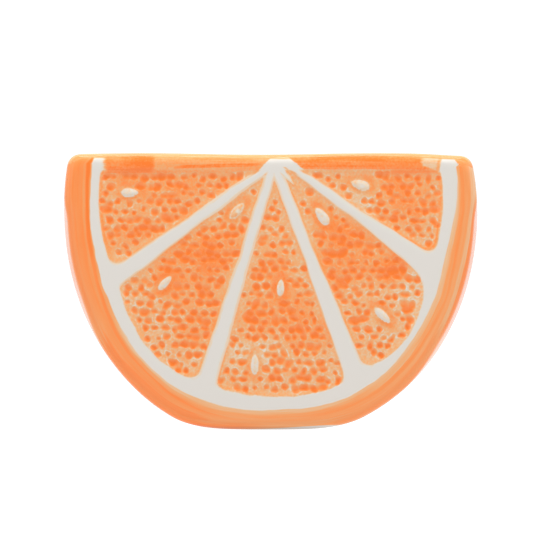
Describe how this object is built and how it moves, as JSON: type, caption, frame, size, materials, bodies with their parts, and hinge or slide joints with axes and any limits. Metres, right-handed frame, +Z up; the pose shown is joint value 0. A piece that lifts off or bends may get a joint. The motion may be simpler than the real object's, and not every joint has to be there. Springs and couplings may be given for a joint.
{
  "type": "ceramic orange half slice",
  "caption": "Glazed ceramic ornament shaped as half an orange slice, both faces with sunk pitted segments and raised seeds, standing on a flat foot.",
  "frame": {"origin": "middle of the flat foot, at the bottom centre of the bounding box", "axes": "+Z up from the foot to the straight cut edge, +X along the cut edge to the right seen from the front, front face towards -Y"},
  "size_m": [0.15, 0.055, 0.0995],
  "materials": {
    "glaze": "glossy hand-painted orange glaze over cream white ceramic"
  },
  "bodies": {
    "root": {"glazed_slice": "glaze"}
  },
  "joints": []
}
